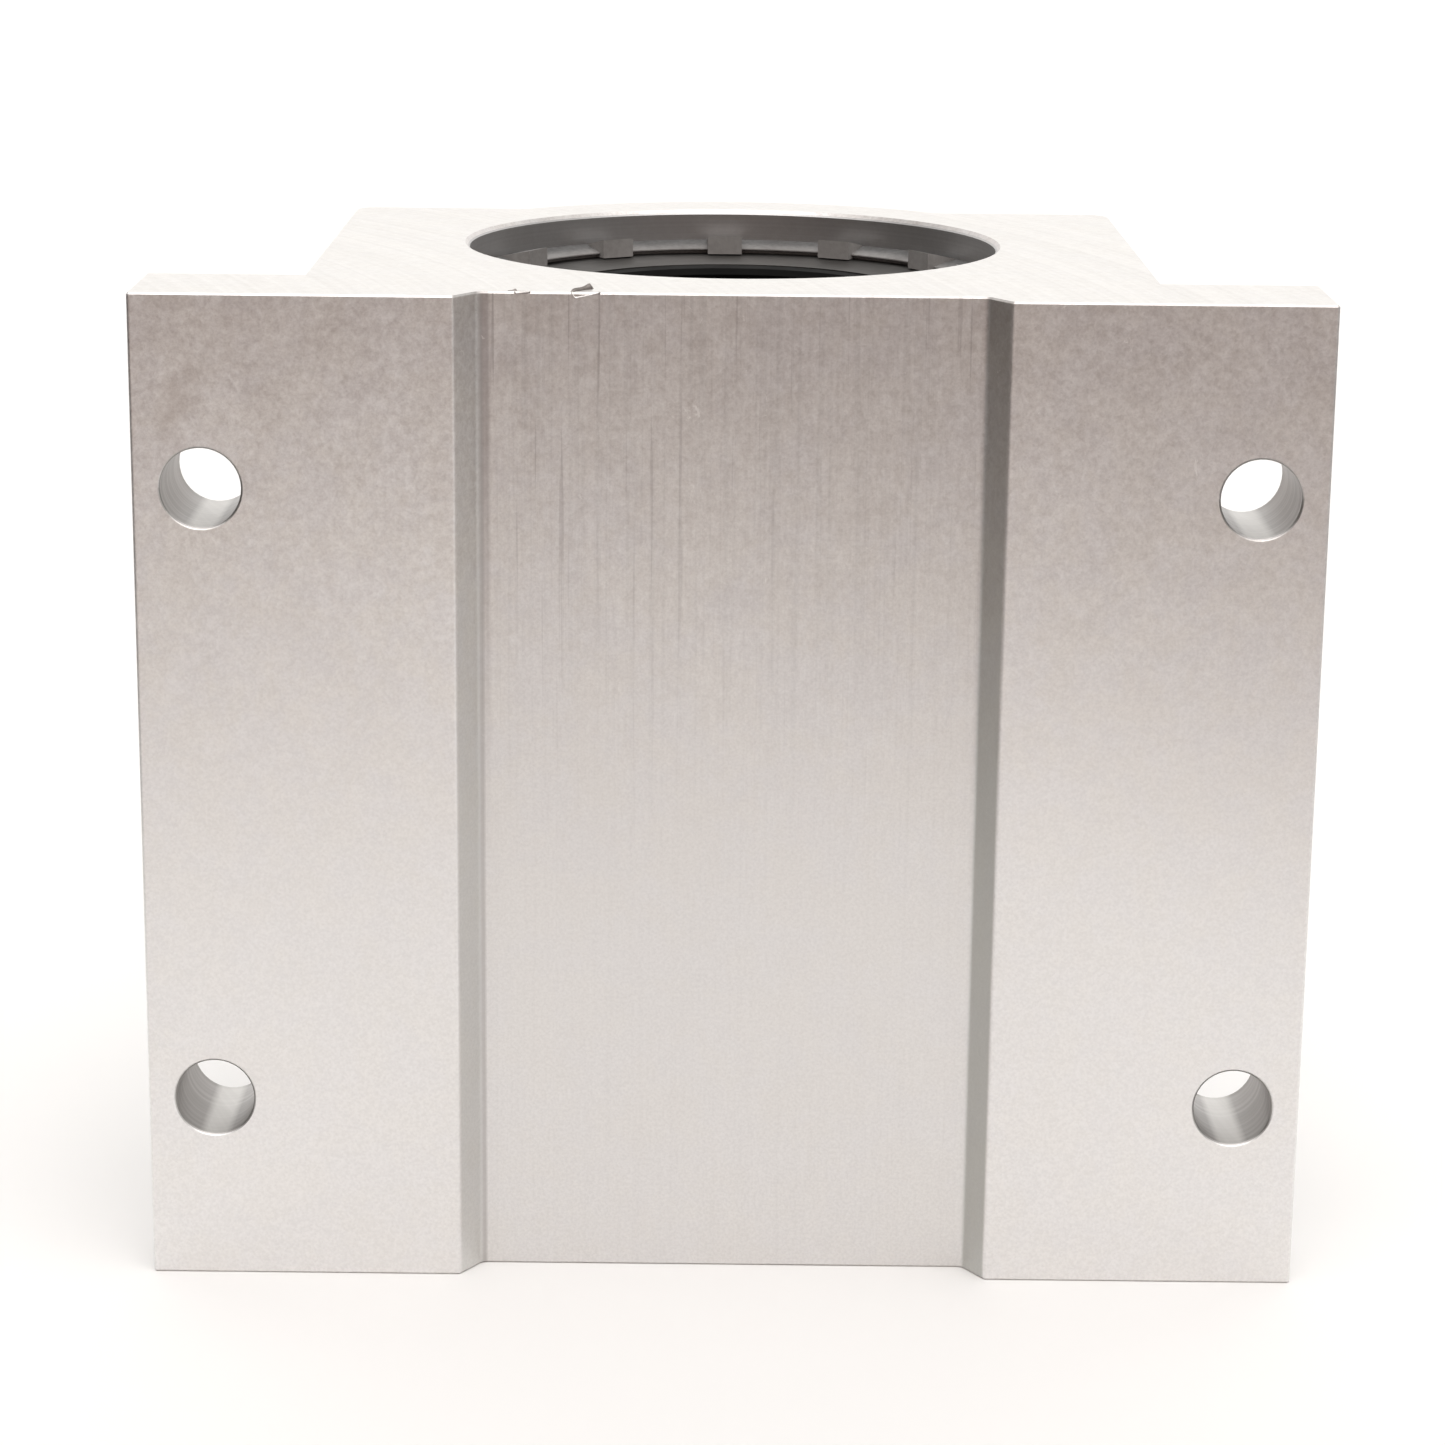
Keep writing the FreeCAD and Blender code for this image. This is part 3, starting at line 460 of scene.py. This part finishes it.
def turned_steel(name, dark, light, rough, ring_scale):
    """Steel with fine rings about the bore axis."""
    made = Material(name)
    radius = made.length(made.x, made.y)
    # the rings wander a little along the axis
    rings = made.noise(made.join(made.times(radius, ring_scale), 0.0,
                                 made.times(made.z, ring_scale * 0.2)), scale=1.0)
    cloud = made.noise(made.place, scale=260.0, detail=4.0, rough=0.6)
    tint = made.mix(0.4, made.ramp(cloud, CLOUD_STOPS, (dark, light)),
                    made.ramp(rings, GRAIN_STOPS, (dark, light)))
    return made.finish(rings, FINE, Base_Color=tint, Metallic=1.0,
                       Roughness=made.remap(cloud, SPREAD, (rough - 0.05, rough + 0.05)))


looks = {
    "anodised_aluminium": aluminium(),
    "sleeve_polymer": moulded(
        "sleeve_black", (0.020, 0.020, 0.021), (0.036, 0.036, 0.037), rough=0.45),
    "retainer_polymer": moulded(
        "retainer_black", (0.012, 0.012, 0.012), (0.024, 0.024, 0.024), rough=0.42),
    "seal_polymer": carrier(),
    "wiper_rubber": moulded(
        "wiper_rubber", (0.006, 0.006, 0.006), (0.012, 0.012, 0.012), rough=0.85),
    "cover_steel": turned_steel(
        "cover_dull", (0.11, 0.105, 0.10), (0.17, 0.165, 0.16), rough=0.45, ring_scale=3500.0),
    "hardened_steel": turned_steel(
        "plate_ground", (0.40, 0.39, 0.38), (0.52, 0.51, 0.50), rough=0.26, ring_scale=1800.0),
    "polished_steel": turned_steel(
        "ball_polished", (0.62, 0.62, 0.63), (0.74, 0.74, 0.75), rough=0.09, ring_scale=900.0),
    "plated_steel": turned_steel(
        "lubricator_plated", (0.55, 0.53, 0.48), (0.68, 0.66, 0.60), rough=0.28,
        ring_scale=2600.0),
}
# the dark tint is painted shade on the raised burrs; the grain and scuffs are the torn metal's
# own
shaded_torn_metal = moulded("shaded_torn_metal", (0.16, 0.14, 0.13), (0.46, 0.42, 0.40), rough=0.55,
                     grain_scale=3000.0, metallic=1.0)

slot_of = {part["node"]: part["material_slot"] for part in frame["record"]["subparts"]}
for name, node in nodes.items():
    for material_slot in node.material_slots:
        material_slot.material = looks[slot_of[name]]


# ---------------------------------------------------------------- check spring

def fit_spring():
    """The lubricator's spring again, as a piece of its own fixed to the block."""
    spring = bpy.data.objects.new("check_spring_coil", nodes["check_spring"].data.copy())
    bpy.context.scene.collection.objects.link(spring)
    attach(spring, "block")
    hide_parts("check_spring")
    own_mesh(spring)


# ---------------------------------------------------------------- edge nicks

def sliver(name, sections, look):
    """A closed sliver of metal through four-cornered sections, narrow at both ends."""
    mesh = bmesh.new()
    rings = [[mesh.verts.new(corner) for corner in section] for section in sections]
    for lower, upper in zip(rings, rings[1:]):
        for j in range(4):
            follower = (j + 1) % 4
            mesh.faces.new((lower[j], lower[follower], upper[follower], upper[j]))
    mesh.faces.new(list(reversed(rings[0])))
    mesh.faces.new(rings[-1])
    bmesh.ops.recalc_face_normals(mesh, faces=mesh.faces)
    for face in mesh.faces:
        face.smooth = True
    data = bpy.data.meshes.new(name)
    mesh.to_mesh(data)
    mesh.free()
    piece = bpy.data.objects.new(name, data)
    bpy.context.scene.collection.objects.link(piece)
    data.materials.append(look)
    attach(piece, "block")


def curl(name, start, end, width, rise, lean):
    """Metal turned up from the end face: it runs from start to end and leans sideways."""
    root = 0.05 * MM             # how deep it is set into the face
    blunt, taper = 0.06, 0.15    # its ends' share of its size, and of its length
    wave, waves = 0.14, 9.0      # how uneven it is along its length
    along = Vector((end[0] - start[0], end[1] - start[1], 0.0))
    side = Vector((-along.y, along.x, 0.0)).normalized()
    sections = []
    for i in range(SLIVER_STEPS + 1):
        t = i / SLIVER_STEPS
        uneven = 1.0 + wave * math.sin(waves * t)
        swell = blunt + min(t / taper, 1.0, (1.0 - t) / taper) * uneven
        climb = 0.35 + 0.65 * t    # it stands up more towards its end
        height = rise * swell * climb
        foot = Vector((*start, block_high.z - root)) + along * t
        middle = foot + side * (lean * 0.35 * swell) + Vector((0.0, 0.0, height * 0.6))
        crest = foot + side * (lean * swell) + Vector((0.0, 0.0, height))
        half = side * (width * swell / 2)
        sections.append([foot - half, middle - half * 0.45, crest, foot + half])
    # the burr's dark tint is painted shade
    sliver(name, sections, shaded_torn_metal)


def smear(name, left, right, drop, proud):
    """Metal rolled over the relief's upper edge: a facet that faces up and forward."""
    crown, lip = 0.03 * MM, 0.06 * MM        # above the end face, and its outer edge
    deep, shallow = 0.45 * MM, 0.30 * MM     # where its back lies inside the block
    blunt, taper, fade = 0.05, 0.14, 0.9     # its ends, and how it thins out to the right
    sections = []
    for i in range(SLIVER_STEPS + 1):
        t = i / SLIVER_STEPS
        swell = blunt + min(t / taper, 1.0) * (1.0 - t) ** fade
        x = left + (right - left) * t
        top = block_high.z + crown * swell
        low = block_high.z - drop * swell
        sections.append([(x, relief_y + deep, top), (x, relief_y + shallow, low),
                         (x, relief_y - proud * swell, low),
                         (x, relief_y - proud * 0.7 * swell, low + lip)])
    sliver(name, sections, looks["anodised_aluminium"])


# ---------------------------------------------------------------- studio

def make_floor():
    """Pale table the block stands on: rounded in front, running far back."""
    left, right, front, rear = TABLE
    middle, half = (left + right) / 2, (right - left) / 2
    angles = [math.pi * i / TABLE_STEPS for i in range(TABLE_STEPS + 1)]
    outline = [(middle + half * math.cos(angle), front * math.sin(angle)) for angle in angles]
    outline += [(left, rear), (right, rear)]
    data = bpy.data.meshes.new("floor")
    data.from_pydata([(x, y, block_low.z) for x, y in outline], [],
                     [tuple(reversed(range(len(outline))))])
    floor = bpy.data.objects.new("floor", data)
    bpy.context.scene.collection.objects.link(floor)
    made = Material("pale_table")
    mottle = made.noise(made.place, scale=6.0)
    data.materials.append(made.finish(Base_Color=made.ramp(mottle, SPREAD, TABLE_PALE),
                                      Roughness=0.9))


def make_world():
    """Soft surround: a bright ceiling and back, and a dim room on the camera's side."""
    world = bpy.data.worlds.new("studio")
    world.use_nodes = True
    made = Graph(world.node_tree)
    x, y, z = made.split(made.add("ShaderNodeTexCoord").outputs["Generated"])
    aim = Vector(SOFTBOX_AIM).normalized()
    toward = made.plus(made.times(x, aim.x), made.times(y, aim.y), made.times(z, aim.z))
    toward = made.math("POWER", made.math("MAXIMUM", toward, 0.0), SOFTBOX_FOCUS)
    # each wall grows from nothing to its full strength over a range of directions
    back = made.remap(y, (0.15, 0.75), (0.0, BACK), smooth=True)
    right = made.remap(x, (0.2, 0.9), (0.0, RIGHT), smooth=True)
    front = made.remap(made.times(y, -1.0), (0.3, 0.95), (0.0, WARM), smooth=True)
    level = made.plus(made.times(toward, SOFTBOX), made.math("MAXIMUM", back, right), ROOM)
    light = made.vector("ADD", made.scale(DAYLIGHT, level), made.scale(FURNITURE, front))
    paper = made.scale(PAPER, made.add("ShaderNodeLightPath").outputs["Is Camera Ray"])
    made.feed(world.node_tree.nodes["Background"].inputs["Color"],
              made.vector("MAXIMUM", light, paper))
    bpy.context.scene.world = world


def make_camera():
    """A little above the block, looking down at its mounting face, rolled a touch."""
    camera = bpy.data.cameras.new("camera")
    camera.sensor_width = SENSOR
    camera.lens = LENS
    camera.clip_start, camera.clip_end = 0.01, 50.0
    holder = bpy.data.objects.new("camera", camera)
    bpy.context.scene.collection.objects.link(holder)
    yaw = Matrix.Rotation(math.radians(YAW), 4, "Z")
    pitch = Matrix.Rotation(math.radians(PITCH), 4, "X")
    roll = Matrix.Rotation(math.radians(ROLL), 4, "Y")
    level = Matrix.Rotation(math.radians(90.0), 4, "X")
    place = Matrix.Translation(Vector(CAMERA_PLACE))
    holder.matrix_world = place @ yaw @ pitch @ roll @ level
    bpy.context.scene.camera = holder


fit_spring()
curl("edge_burr_large", start=(-11.2 * MM, relief_y + 0.25 * MM),
     end=(-9.6 * MM, relief_y + 2.1 * MM), width=0.40 * MM, rise=0.42 * MM, lean=0.06 * MM)
smear("edge_smear_large", left=-11.1 * MM, right=-9.1 * MM, drop=0.46 * MM, proud=0.14 * MM)
curl("edge_burr_small", start=(-15.5 * MM, relief_y + 0.25 * MM),
     end=(-14.8 * MM, relief_y + 0.8 * MM), width=0.26 * MM, rise=0.16 * MM, lean=0.06 * MM)
smear("edge_smear_small", left=-15.0 * MM, right=-13.9 * MM, drop=0.14 * MM, proud=0.06 * MM)
make_floor()
make_world()
make_camera()
bpy.context.scene.view_settings.view_transform = "Standard"
